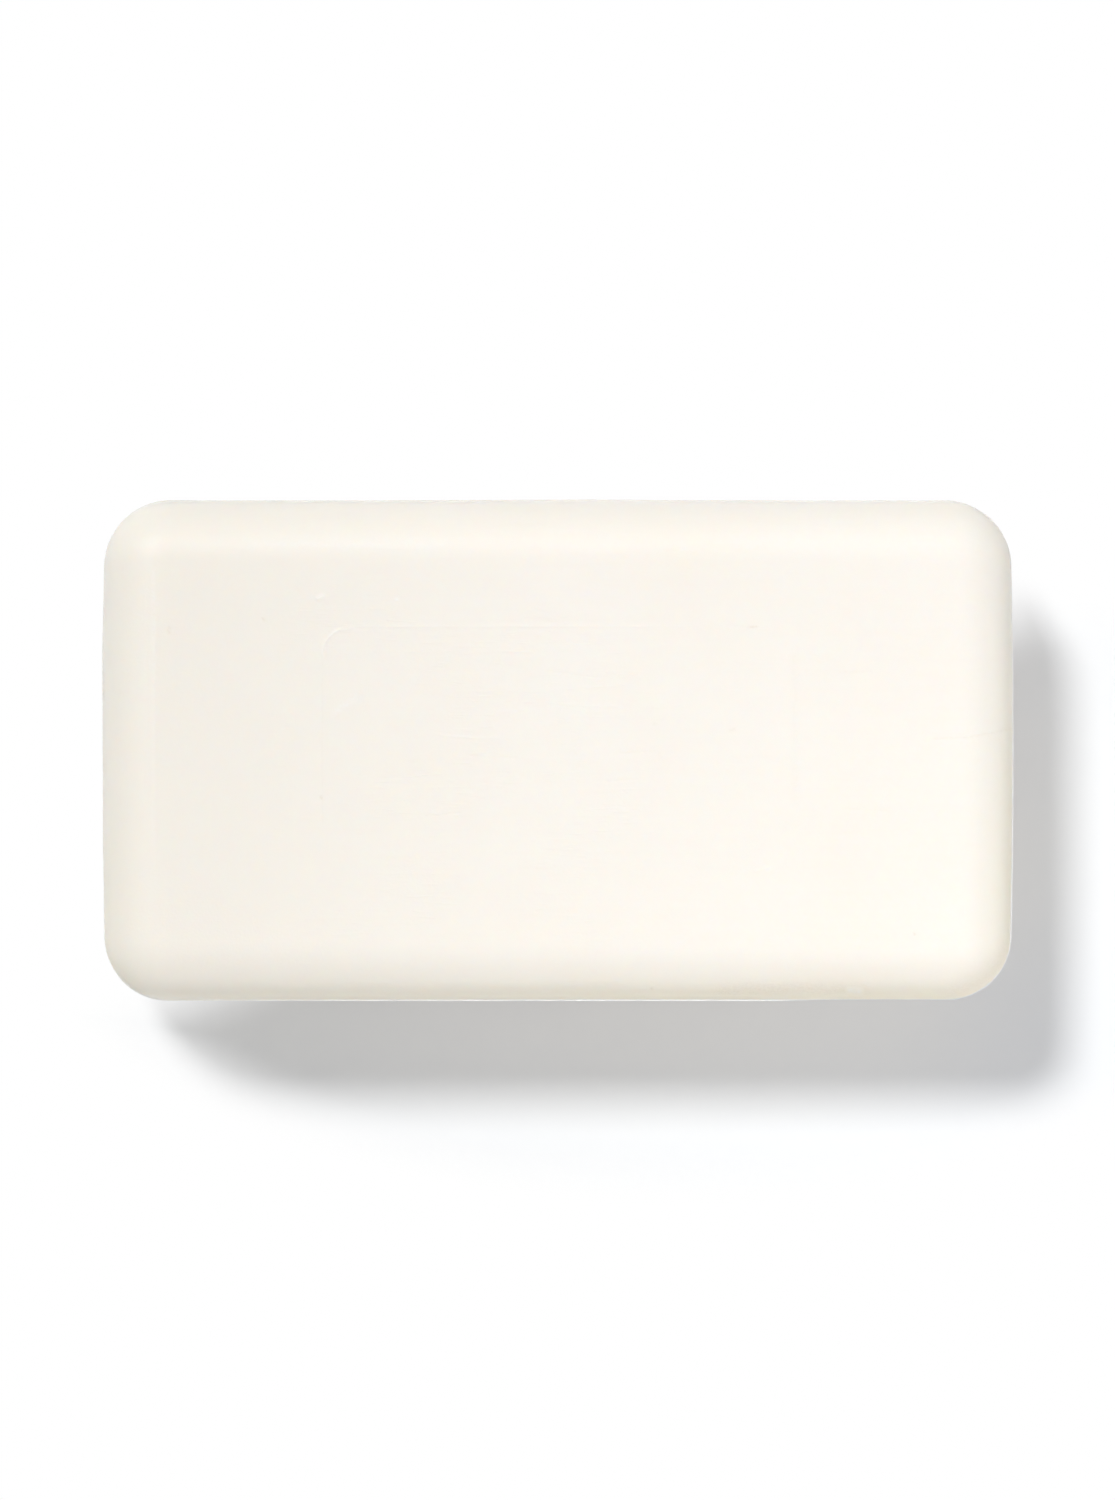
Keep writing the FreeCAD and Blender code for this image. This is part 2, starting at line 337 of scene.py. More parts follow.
    # Half length, half width and corner radius at each level, as one vector
    core_y = 1 - 2 * CORNER_CELLS / (ALONG_Y - 1)
    core_x = 1 - 2 * CORNER_CELLS / (ALONG_X - 1)
    corner = add(tree, "ShaderNodeMapRange", {
        "Value": to_rear, "From Min": -core_y, "From Max": core_y,
        "To Min": given["Front Corner"], "To Max": given["Rear Corner"]}).outputs[0]
    half_length = add(tree, "ShaderNodeMath", {0: given["Length"], 1: 0.5}, operation="MULTIPLY")
    half_width = add(tree, "ShaderNodeMath", {0: given["Width"], 1: 0.5}, operation="MULTIPLY")
    girth = add(tree, "ShaderNodeCombineXYZ", {0: half_length.outputs[0], 1: half_width.outputs[0],
                                               2: corner}).outputs[0]
    outer = add(tree, "ShaderNodeVectorMath", {0: girth, 1: drawn_in}, operation="SUBTRACT").outputs[0]
    insert_x = add(tree, "ShaderNodeMath", {0: given["Insert Length"], 1: 0.5}, operation="MULTIPLY")
    insert_y = add(tree, "ShaderNodeMath", {0: given["Insert Width"], 1: 0.5}, operation="MULTIPLY")
    insert = add(tree, "ShaderNodeCombineXYZ", {0: insert_x.outputs[0], 1: insert_y.outputs[0],
                                                2: given["Insert Corner"]}).outputs[0]
    from_middle = add(tree, "ShaderNodeMapRange", {"Value": through[3], "To Min": 0.5,
                                                   "To Max": -0.5}).outputs[0]
    line_offset = add(tree, "ShaderNodeMath", {0: from_middle, 1: given["Line Width"]},
                      operation="MULTIPLY").outputs[0]
    inner = add(tree, "ShaderNodeVectorMath", {0: insert, 1: line_offset}, operation="ADD").outputs[0]
    outline = add(tree, "ShaderNodeMix", {"Factor": through[2], 4: outer, 5: inner},
                  data_type="VECTOR").outputs[1]
    outline_corner = add(tree, "ShaderNodeSeparateXYZ", {0: outline}).outputs["Z"]

    # Straight stretches spread over the grid's core, corners over its last cells
    core = (core_x, core_y, 1.0)
    share = add(tree, "ShaderNodeVectorMath", {0: away, 1: core}, operation="DIVIDE").outputs[0]
    straight = add(tree, "ShaderNodeVectorMath", {0: share, 1: (1, 1, 1)}, operation="MINIMUM").outputs[0]
    past_core = add(tree, "ShaderNodeVectorMath", {0: away, 1: core}, operation="SUBTRACT").outputs[0]
    corner_share = add(tree, "ShaderNodeVectorMath", {
        0: past_core, 1: (1 / (1 - core_x), 1 / (1 - core_y), 0)}, operation="MULTIPLY").outputs[0]
    into_corner = add(tree, "ShaderNodeVectorMath", {0: corner_share, 1: (0, 0, 0)},
                      operation="MAXIMUM").outputs[0]
    eighth_turn = add(tree, "ShaderNodeVectorMath", {0: into_corner, "Scale": math.pi / 4},
                      operation="SCALE").outputs[0]
    bearing = add(tree, "ShaderNodeVectorMath", {0: eighth_turn}, operation="TANGENT").outputs[0]
    heading = add(tree, "ShaderNodeVectorMath", {0: bearing}, operation="NORMALIZE").outputs[0]
    corner_parts = add(tree, "ShaderNodeSeparateXYZ", {0: into_corner}).outputs
    reach = add(tree, "ShaderNodeMath", {0: corner_parts["X"], 1: corner_parts["Y"]},
                operation="MAXIMUM").outputs[0]
    radius = add(tree, "ShaderNodeMath", {0: reach, 1: outline_corner}, operation="MULTIPLY").outputs[0]
    rounded = add(tree, "ShaderNodeVectorMath", {0: heading, "Scale": radius},
                  operation="SCALE").outputs[0]
    straight_size = add(tree, "ShaderNodeVectorMath", {0: outline, 1: outline_corner},
                        operation="SUBTRACT").outputs[0]
    quarter = add(tree, "ShaderNodeVectorMath", {0: straight, 1: straight_size, 2: rounded},
                  operation="MULTIPLY_ADD").outputs[0]
    plan = add(tree, "ShaderNodeVectorMath", {0: quarter, 1: side}, operation="MULTIPLY").outputs[0]

    # The ends bow: X draws in with the square of Y
    plan_parts = add(tree, "ShaderNodeSeparateXYZ", {0: plan}).outputs
    across = add(tree, "ShaderNodeMath", {0: plan_parts["Y"], 1: plan_parts["Y"]}, operation="MULTIPLY")
    bow_scale = add(tree, "ShaderNodeMath", {0: given["Length"], 1: given["Bow Radius"]},
                    operation="MULTIPLY")
    bow = add(tree, "ShaderNodeMath", {0: across.outputs[0], 1: bow_scale.outputs[0]}, operation="DIVIDE")
    keep = add(tree, "ShaderNodeMath", {0: 1.0, 1: bow.outputs[0]}, operation="SUBTRACT").outputs[0]
    x = add(tree, "ShaderNodeMath", {0: plan_parts["X"], 1: keep}, operation="MULTIPLY").outputs[0]

    # Heights, with the insert line on the upper face only, and fainter where the die fits closer
    fit = add(tree, "ShaderNodeTexNoise", {"Vector": grid, "Scale": 2.2, "Detail": 4.0,
                                           "Roughness": 0.65}).outputs["Fac"]
    fit_share = add(tree, "ShaderNodeMapRange", {"Value": fit, "From Min": 0.4, "From Max": 0.62,
                                                 "To Min": CLOSEST_FIT, "To Max": LOOSEST_FIT}).outputs[0]
    half_turn = add(tree, "ShaderNodeMath", {0: through[3], 1: math.pi}, operation="MULTIPLY").outputs[0]
    swell = add(tree, "ShaderNodeMath", {0: half_turn}, operation="SINE").outputs[0]
    upper_only = add(tree, "ShaderNodeMath", {0: side_parts["Z"], 1: 0.0}, operation="GREATER_THAN")
    line_share = add(tree, "ShaderNodeMath", {0: swell, 1: upper_only.outputs[0]}, operation="MULTIPLY")
    right_fade = add(tree, "ShaderNodeMapRange", {
        "Value": to_end, "From Min": core_x - 0.03, "From Max": 0.97,
        "To Min": 1.0, "To Max": 0.0}).outputs[0]
    front_fade = add(tree, "ShaderNodeMapRange", {
        "Value": to_rear, "From Min": -core_y, "From Max": -0.4,
        "To Min": FRONT_LINE, "To Max": 1.0}).outputs[0]
    side_share = add(tree, "ShaderNodeMath", {0: right_fade, 1: front_fade},
                     operation="MULTIPLY").outputs[0]
    kept_line = add(tree, "ShaderNodeMath", {0: side_share, 1: fit_share},
                    operation="MULTIPLY").outputs[0]
    uneven_line = add(tree, "ShaderNodeMath", {0: line_share.outputs[0], 1: kept_line},
                      operation="MULTIPLY").outputs[0]
    line_rise = add(tree, "ShaderNodeMath", {0: uneven_line, 1: given["Line Height"],
                                             2: half_height.outputs[0]}, operation="MULTIPLY_ADD")

    # A slight ridge where the rounding meets the upper flat, plainest at the left end and chipped
    ridge_level = (WALL_LEVELS + ROUND_LEVELS) / HALF_LEVELS
    on_ridge = add(tree, "ShaderNodeMath", {0: level, 1: ridge_level, 2: 0.6 / HALF_LEVELS},
                    operation="COMPARE").outputs[0]
    chipping = add(tree, "ShaderNodeTexNoise", {"Vector": grid, "Scale": 14.0, "Detail": 3.0,
                                                "Roughness": 0.8}).outputs["Fac"]
    left_end = add(tree, "ShaderNodeMapRange", {"Value": to_end, "From Min": -0.97, "From Max": -0.93,
                                                "To Min": 1.0, "To Max": RIDGE_ELSEWHERE}).outputs[0]
    ridge_left = add(tree, "ShaderNodeMath", {0: on_ridge, 1: left_end}, operation="MULTIPLY").outputs[0]
    ridge_upper = add(tree, "ShaderNodeMath", {0: ridge_left, 1: upper_only.outputs[0]},
                      operation="MULTIPLY").outputs[0]
    ridge_chipped = add(tree, "ShaderNodeMath", {0: ridge_upper, 1: chipping},
                        operation="MULTIPLY").outputs[0]
    with_ridge = add(tree, "ShaderNodeMath", {0: ridge_chipped, 1: RIDGE_HEIGHT,
                                              2: line_rise.outputs[0]},
                     operation="MULTIPLY_ADD").outputs[0]
    z = add(tree, "ShaderNodeMath", {0: rise, 1: side_parts["Z"], 2: with_ridge},
            operation="MULTIPLY_ADD").outputs[0]

    place = add(tree, "ShaderNodeCombineXYZ", {0: x, 1: plan_parts["Y"], 2: z}).outputs[0]
    pressed = add(tree, "GeometryNodeSetPosition", {"Geometry": cube.outputs[0], "Position": place})
    smooth = add(tree, "GeometryNodeSetShadeSmooth", {0: pressed.outputs[0]})
    real = add(tree, "GeometryNodeRealizeInstances", {0: smooth.outputs[0]})
    painted = add(tree, "GeometryNodeSetMaterial", {"Geometry": real.outputs[0],
                                                    "Material": given["Material"]})
    add(tree, "NodeGroupOutput", {0: painted.outputs[0]})
    return tree


def pressed_mesh(sizes, material):
    """The bar's skin as a plain mesh, from the pressing tree."""
    tree = pressing_tree()
    blank = bpy.data.objects.new("blank", bpy.data.meshes.new("blank"))
    bpy.context.scene.collection.objects.link(blank)
    press = blank.modifiers.new("press", "NODES")
    press.node_group = tree
    values = {input_name(size): getattr(sizes, size) for size in SoapSizes.__annotations__}
    values["Material"] = material
    for item in tree.interface.items_tree:
        if item.in_out == "INPUT":
            press[item.identifier] = values[item.name]
    graph = bpy.context.evaluated_depsgraph_get()
    mesh = bpy.data.meshes.new_from_object(blank.evaluated_get(graph))
    blank.modifiers.remove(press)
    bpy.data.objects.remove(blank)
    return mesh


def soap_material(finish):
    """Milled toilet soap: a dense cream paste, satin, faintly streaked along the bar by the
    plodder, that lets light wander a few millimetres and so glows at its edges."""
    material = bpy.data.materials.new("milled_toilet_soap")
    material.use_nodes = True
    tree = material.node_tree
    tree.nodes.clear()
    place = add(tree, "ShaderNodeTexCoord").outputs["Object"]
    stretched = add(tree, "ShaderNodeMapping", {"Vector": place, "Scale": (
        1 / finish.streak_length, 1 / finish.streak_spacing, 1 / finish.streak_spacing)}).outputs[0]
    streaks = add(tree, "ShaderNodeTexNoise", {"Vector": stretched, "Scale": 1.0, "Detail": 4.0,
                                               "Roughness": 0.6}).outputs["Fac"]
    grit = add(tree, "ShaderNodeTexNoise", {"Vector": place, "Scale": 1 / finish.grit_size,
                                            "Detail": 2.0}).outputs["Fac"]

    # Fine scuffs along the bar, in patches left of the middle
    drawn_out = add(tree, "ShaderNodeMapping", {"Vector": place, "Scale": (
        1 / finish.scuff_length, 1 / finish.scuff_spacing, 1 / finish.scuff_spacing)}).outputs[0]
    scuff_noise = add(tree, "ShaderNodeTexNoise", {"Vector": drawn_out, "Scale": 1.0, "Detail": 2.0,
                                                   "Distortion": 0.8}).outputs["Fac"]
    scuff_lines = add(tree, "ShaderNodeMapRange", {"Value": scuff_noise, "From Min": 0.54,
                                                   "From Max": 0.7}).outputs[0]
    patches = add(tree, "ShaderNodeTexNoise", {"Vector": place, "Scale": 120.0}).outputs["Fac"]
    patch_share = add(tree, "ShaderNodeMapRange", {"Value": patches, "From Min": 0.42,
                                                   "From Max": 0.58}).outputs[0]
    from_patch = add(tree, "ShaderNodeVectorMath", {0: place, 1: SCUFF_MIDDLE},
                     operation="DISTANCE").outputs["Value"]
    near_patch = add(tree, "ShaderNodeMapRange", {
        "Value": from_patch, "From Min": SCUFFS_FULL, "From Max": SCUFFS_FAINT,
        "To Min": 1.0, "To Max": 0.15}).outputs[0]
    patch_now = add(tree, "ShaderNodeMath", {0: patch_share, 1: near_patch},
                    operation="MULTIPLY").outputs[0]
    scuffs = add(tree, "ShaderNodeMath", {0: scuff_lines, 1: patch_now},
                 operation="MULTIPLY").outputs[0]

    # The paste, milled of two tones, darker and yellower towards the left end, and warmer low on the
    # shaded sides, which is painted shade
    clouds = add(tree, "ShaderNodeTexNoise", {"Vector": place, "Scale": 60.0,
                                              "Detail": 3.0}).outputs["Fac"]
    mixed = add(tree, "ShaderNodeMix", {"Factor": 0.3, 2: clouds, 3: streaks}).outputs[0]
    share = add(tree, "ShaderNodeMapRange", {"Value": mixed, "From Min": 0.3, "From Max": 0.7,
                                             "To Min": 0.2, "To Max": 0.8}).outputs[0]
    milled = add(tree, "ShaderNodeMix", {"Factor": share, 6: (*linear(finish.paste), 1),
                                         7: (*linear(finish.deep_paste), 1)}, data_type="RGBA").outputs[2]
    place_parts = add(tree, "ShaderNodeSeparateXYZ", {0: place}).outputs
    left_end_share = add(tree, "ShaderNodeMapRange", {
        "Value": place_parts["X"], "From Min": LEFT_TONE_FULL, "From Max": LEFT_TONE_END,
        "To Min": 1.0, "To Max": 0.0}, interpolation_type="SMOOTHSTEP").outputs[0]
    left_end_toned = add(tree, "ShaderNodeMix", {"Factor": left_end_share, 6: milled,
                                       7: (*linear(finish.left_end_paste), 1)},
               data_type="RGBA").outputs[2]
    from_rim = add(tree, "ShaderNodeMath", {0: place_parts["Z"], 1: finish.rim_height},
                   operation="SUBTRACT").outputs[0]
    rim_gap = add(tree, "ShaderNodeMath", {0: from_rim}, operation="ABSOLUTE").outputs[0]
    rim_shade_share = add(tree, "ShaderNodeMapRange", {
        "Value": rim_gap, "From Min": RIM_SHADE_FULL, "From Max": RIM_SHADE_END,
        "To Min": 0.5, "To Max": 0.0}).outputs[0]
    off_lamp = add(tree, "ShaderNodeVectorMath", {0: place, 1: OFF_LAMP},
                   operation="DOT_PRODUCT").outputs["Value"]
    shade_side = add(tree, "ShaderNodeMapRange", {
        "Value": off_lamp, "From Min": SHADE_START, "From Max": SHADE_FULL}).outputs[0]
    # Painted shade: the warm tint is kept to the side away from the key lamp
    rim_shade_now = add(tree, "ShaderNodeMath", {0: rim_shade_share, 1: shade_side},
                  operation="MULTIPLY").outputs[0]
    paste = add(tree, "ShaderNodeMix", {"Factor": rim_shade_now, 6: left_end_toned,
                                        7: (*linear(finish.rim_painted_shade), 1)},
                data_type="RGBA").outputs[2]

    # Chalk on rubbed spots, a painted highlight on the flash's shaded side and on the crease marks, and
    # grime on the other marks, with painted shade on the corner mark, all broken up by the grit
    on_flash = add(tree, "ShaderNodeMapRange", {
        "Value": rim_gap, "From Min": FLASH_FULL, "From Max": FLASH_END,
        "To Min": 0.9, "To Max": 0.0}).outputs[0]
    # Painted highlight: the flash is paled only on the side away from the key lamp, where the light line
    # shows
    flash_highlight = add(tree, "ShaderNodeMath", {0: on_flash, 1: shade_side},
                      operation="MULTIPLY").outputs[0]
    mark_tint = add(tree, "ShaderNodeAttribute", attribute_name="tint").outputs["Fac"]
    broken = add(tree, "ShaderNodeMapRange", {"Value": grit, "From Min": 0.35, "From Max": 0.65,
                                              "To Min": 0.3, "To Max": 1.7}).outputs[0]
    tint = add(tree, "ShaderNodeMath", {0: mark_tint, 1: broken}, operation="MULTIPLY").outputs[0]
    # Pale tints: chalk on rubbed spots, and painted highlights on the crease marks
    rubbed = add(tree, "ShaderNodeMath", {0: tint, 1: -1.0}, operation="MULTIPLY").outputs[0]
    pale_share = add(tree, "ShaderNodeMath", {0: rubbed, 1: flash_highlight},
                     operation="MAXIMUM").outputs[0]
    paled = add(tree, "ShaderNodeMix", {"Factor": pale_share, 6: paste, 7: (*linear(finish.chalk), 1)},
                data_type="RGBA").outputs[2]
    marked = add(tree, "ShaderNodeMix", {"Factor": tint, 6: paled, 7: (*linear(finish.grime), 1)},
                 data_type="RGBA").outputs[2]

    # Unevenness of the skin, and its satin, which is glossier on the flash
    streak_bump = add(tree, "ShaderNodeBump", {"Height": streaks, "Strength": 1.0,
                                               "Distance": STREAK_DEPTH}).outputs[0]
    scuff_bump = add(tree, "ShaderNodeBump", {"Height": scuffs, "Strength": 1.0,
                                              "Distance": SCUFF_DEPTH,
                                              "Normal": streak_bump}).outputs[0]
    grit_bump = add(tree, "ShaderNodeBump", {"Height": grit, "Strength": 1.0,
                                             "Distance": GRIT_DEPTH,
                                             "Normal": scuff_bump}).outputs[0]
    gritty = add(tree, "ShaderNodeMapRange", {
        "Value": grit, "From Min": 0.3, "From Max": 0.7,
        "To Min": finish.roughness - ROUGHNESS_SWING,
        "To Max": finish.roughness + ROUGHNESS_SWING}).outputs[0]
    gloss = add(tree, "ShaderNodeMix", {"Factor": on_flash, 2: gritty, 3: 0.15}).outputs[0]
    shine = add(tree, "ShaderNodeMix", {"Factor": on_flash, 2: 0.5, 3: 1.0}).outputs[0]
    skin = add(tree, "ShaderNodeBsdfPrincipled", {
        "Base Color": marked, "Roughness": gloss, "IOR": 1.46, "Specular IOR Level": shine,
        "Normal": grit_bump,
        "Subsurface Weight": 0.5, "Subsurface Radius": (1.0, 0.8, 0.6),
        "Subsurface Scale": finish.scatter}).outputs[0]
    add(tree, "ShaderNodeOutputMaterial", {"Surface": skin})
    return material


# Marks above the walls: where each runs in plan (mm, in the bar's frame), half its width and its
# depth in mm (below 0 stands proud), and its tint, from 1 for grime to -1 for chalk; the crease marks'
# pale tint is a painted highlight and the front right corner mark's dark tint is painted shade
MARKS = {
    "crumb": ([(-24.8, 15.7), (-24.4, 15.9)], 0.22, -0.09, -0.2),
    "pale_fleck": ([(-16.8, 15.6), (-16.6, 15.6)], 0.14, -0.03, -0.3),
    "rear_left_speck": ([(-40.3, 12.7), (-40.35, 12.1)], 0.13, 0.03, 0.1),
    "rear_speck": ([(-30.55, 13.6), (-30.45, 13.4)], 0.14, 0.03, 0.1),
    "line_speck": ([(-24.5, -4.8), (-24.5, -4.95)], 0.13, 0.04, 0.14),
    "front_right_speck": ([(37.0, -19.05), (37.0, -19.15)], 0.12, 0.03, 0.1),
    "edge_speck": ([(9.8, -24.85), (9.9, -24.85)], 0.14, 0.03, 0.12),
    "right_blot": ([(18.0, 2.05), (18.35, 2.15)], 0.18, 0.01, 0.05),
    "middle_blot": ([(9.9, 2.7), (10.2, 2.7)], 0.16, 0.01, 0.04),
    "gouge": ([(19.8, 12.75), (20.6, 12.8)], 0.12, 0.05, 0.11),
    "rubbed_patch": ([(-23.2, 3.9), (-22.2, 4.6), (-21.1, 5.3)], 0.35, -0.025, -0.18),
    "crack": ([(39.0, 1.15), (42.4, 1.3), (44.8, 1.75), (47.3, 2.2)], 0.09, 0.04, 0.05),
    "scratch": ([(29.9, -6.0), (35.1, -6.4)], 0.09, 0.02, 0.02),
    "panel_seam": ([(24.65, 9.6), (24.7, 1.0), (24.65, -5.4)], 0.4, 0.012, 0.018),
    "left_seam": ([(-24.4, 9.6), (-24.4, -7.5)], 0.09, 0.016, 0.02),
    "rear_arc": ([(-24.35, 9.6), (-24.1, 11.2), (-23.0, 12.3), (-21.2, 12.65)], 0.15, -0.04, -0.1),
    "front_arc": ([(20.5, -12.6), (22.6, -12.0), (24.0, -10.4)], 0.16, -0.03, -0.1),
    "scuff_rear": ([(-1.2, 8.2), (4.0, 7.5), (9.1, 7.4)], 0.1, 0.012, 0.008),
    "scuff_rear_right": ([(29.3, 8.1), (32.5, 8.2)], 0.13, 0.015, 0.02),
    "scuff_pale": ([(-1.2, 4.95), (3.0, 4.6), (6.5, 4.5)], 0.13, -0.018, -0.06),
    "scuff_pale_left": ([(-12.1, 1.5), (-9.0, 1.25), (-5.9, 1.3)], 0.13, -0.018, -0.06),
    "scuff_middle": ([(-9.0, -0.6), (-4.4, -0.8)], 0.1, 0.018, 0.012),
    "scuff_right": ([(6.5, -0.35), (10.2, -0.1)], 0.1, 0.018, 0.015),
    "scuff_front": ([(5.0, -3.3), (8.1, -3.0)], 0.1, 0.015, 0.012),
    "scuff_front_left": ([(-13.7, -6.9), (-10.1, -6.5)], 0.1, 0.018, 0.012),
    "front_smear": ([(17.0, -25.1), (24.0, -24.8), (31.8, -24.9)], 0.7, 0.005, 0.05),
    "smear_fleck": ([(30.4, -25.0), (31.5, -25.1)], 0.28, -0.04, -0.3),
    # Painted shade: a darker band over the front right corner, on the side away from the key lamp
    "corner_shade": ([(41.0, -24.9), (44.8, -23.8), (47.2, -20.5)], 0.9, 0.005, 0.04),
    # Painted highlights over a slight raised relief: the light along the left and rear creases, where the
    # rounding meets the upper flat
    "left_crease_highlight": ([(-41.9, 18.6), (-41.8, 7.4)], 0.22, -0.012, -0.12),
    "left_front_crease_highlight": ([(-41.8, 7.4), (-41.9, -10.0)], 0.22, -0.006, -0.05),
    "rear_crease_highlight": ([(-31.8, 21.3), (-12.0, 21.4)], 0.5, -0.01, -0.12),
    "left_rub": ([(-47.45, 8.1), (-47.4, 5.1)], 0.2, 0.01, 0.11),
    "left_rub_front": ([(-47.45, 0.2), (-47.45, -2.1)], 0.18, 0.01, 0.09),
}
# Cells near a mark that are wider than this many of its half widths are split this many times
MARK_CELL = 1.6
MARK_CUTS = 4
# A mark fades out over this many half widths
MARK_FADE = 3.0
# Height over the walls in which the marks come in
MARK_RISE = 1.5 * MM


def distance_to_path(points, path):
    """Distance in plan, in mm, from each point (mm) to a path of two or more points (mm)."""
    nearest = np.full(len(points), np.inf)
    for start, end in zip(np.array(path[:-1]), np.array(path[1:])):
        run = end - start
        along = np.clip((points - start) @ run / (run @ run), 0, 1)
        nearest = np.minimum(nearest, np.linalg.norm(points - (start + along[:, None] * run), axis=1))
    return nearest


def split_near_marks(mesh, lowest):
    """Gives the mesh finer cells under each mark, above the height given."""
    shaped = bmesh.new()
    shaped.from_mesh(mesh)
    faces = [f for f in shaped.faces if f.calc_center_median().z > lowest]
    centres = np.array([f.calc_center_median()[:2] for f in faces]) / MM
    cell_widths = np.sqrt([f.calc_area() for f in faces]) / MM
    near = np.zeros(len(faces), bool)
    for path, half_width, depth, tint in MARKS.values():
        beside = distance_to_path(centres, path) < MARK_FADE * half_width + 0.5 * cell_widths
        near |= beside & (cell_widths > MARK_CELL * half_width)
    edges = {edge for face, chosen in zip(faces, near) if chosen for edge in face.edges}
    bmesh.ops.subdivide_edges(shaped, edges=list(edges), cuts=MARK_CUTS, use_grid_fill=True)
    many_sided = [f for f in shaped.faces if len(f.verts) > 4]
    bmesh.ops.triangulate(shaped, faces=many_sided)
    shaped.to_mesh(mesh)
    shaped.free()


def cut_marks(mesh, lowest):
    """Sinks or raises each mark along the skin's normal and stores its tint in an attribute."""
    count = len(mesh.vertices)
    places, normals = np.zeros(count * 3), np.zeros(count * 3, np.float32)
    mesh.vertices.foreach_get("co", places)
    mesh.vertex_normals.foreach_get("vector", normals)
    places, normals = places.reshape(-1, 3), normals.reshape(-1, 3)
    plan = places[:, :2] / MM
    on_top = np.clip((places[:, 2] - lowest) / MARK_RISE, 0, 1)
    tints = np.zeros(count, np.float32)
    shift = np.zeros(count)
    for path, half_width, depth, tint in MARKS.values():
        share = np.exp(-(distance_to_path(plan, path) / half_width) ** 2) * on_top
        shift -= depth * MM * share
        tints += tint * share
    mesh.vertices.foreach_set("co", (places + shift[:, None] * normals).ravel())
    mesh.attributes.new("tint", "FLOAT", "POINT").data.foreach_set("value", tints.astype(np.float32))
    mesh.update()


class SOAP_OT_press_bar(bpy.types.Operator):
    """Presses the bar, with its flash, insert line and marks, and gives it its finish"""
    bl_idname = "soap.press_bar"
    bl_label = "Press the bar"

    def execute(self, context):
        sizes, finish = context.scene.soap_sizes, context.scene.soap_finish
        mesh = pressed_mesh(sizes, soap_material(finish))
        wall_top = sizes.height - sizes.edge_radius
        split_near_marks(mesh, wall_top)
        cut_marks(mesh, wall_top)
        mesh.name = "pressed_soap"
        bar = bpy.data.objects.new("pressed_soap", mesh)
        context.scene.collection.objects.link(bar)
        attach(bar, "root")
        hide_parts(NODE)
        return {"FINISHED"}


class SOAP_OT_set_stage(bpy.types.Operator):
    """Lays the floor, hangs the lamps and puts the camera straight above the bar"""
    bl_idname = "soap.set_stage"
    bl_label = "Set the stage"

    def execute(self, context):
        scene = context.scene
        look = scene.soap_stage
        lay_floor(scene)
        light_world(scene, look)
        hang_lamps(scene, look)
        place_camera(scene, look)
        scene.view_settings.view_transform = "Standard"
        return {"FINISHED"}


def lay_floor(scene):
    """A plain pale floor that keeps the bar's shadow, and is pure white to the camera elsewhere, a white
    that also fades into the shadow's two ends as painted light.
    """
    material = bpy.data.materials.new("matt_white_card")
    material.use_nodes = True
    tree = material.node_tree
    tree.nodes.clear()
    place = add(tree, "ShaderNodeTexCoord").outputs["Object"]
    towards_lamp = add(tree, "ShaderNodeVectorMath", {0: place, 1: TOWARDS_LAMP},
                       operation="DOT_PRODUCT").outputs["Value"]
    lit_side = add(tree, "ShaderNodeMapRange", {
        "Value": towards_lamp, "From Min": LIT_START, "From Max": LIT_FULL},
        interpolation_type="SMOOTHSTEP")
    from_shadow = add(tree, "ShaderNodeVectorMath", {0: place, 1: SHADOW_MIDDLE},
                      operation="SUBTRACT").outputs[0]
    oval = add(tree, "ShaderNodeVectorMath", {0: from_shadow, 1: OVAL_SQUEEZE},
               operation="MULTIPLY").outputs[0]
    off_shadow = add(tree, "ShaderNodeVectorMath", {0: oval}, operation="LENGTH").outputs["Value"]
    far_off = add(tree, "ShaderNodeMapRange", {
        "Value": off_shadow, "From Min": OVAL_START, "From Max": OVAL_END},
        interpolation_type="SMOOTHSTEP")
    # Painted light: where either fade reaches into the cast shadow, the white to the camera pales it
    bare = add(tree, "ShaderNodeMath", {0: lit_side.outputs[0], 1: far_off.outputs[0]},
               operation="MAXIMUM").outputs[0]
    seen = add(tree, "ShaderNodeLightPath").outputs["Is Camera Ray"]
    white_share = add(tree, "ShaderNodeMath", {0: bare, 1: seen}, operation="MULTIPLY").outputs[0]
    card = add(tree, "ShaderNodeBsdfDiffuse", {"Color": (*linear(CARD), 1)}).outputs[0]
    white = add(tree, "ShaderNodeEmission", {"Color": (1, 1, 1, 1), "Strength": 1.0}).outputs[0]
    surface = add(tree, "ShaderNodeMixShader", {0: white_share, 1: card, 2: white}).outputs[0]
    add(tree, "ShaderNodeOutputMaterial", {"Surface": surface})
    shaped = bmesh.new()
    bmesh.ops.create_grid(shaped, x_segments=1, y_segments=1, size=6.0)
    mesh = bpy.data.meshes.new("floor")
    shaped.to_mesh(mesh)
    shaped.free()
    mesh.materials.append(material)
    floor = bpy.data.objects.new("floor", mesh)
    scene.collection.objects.link(floor)


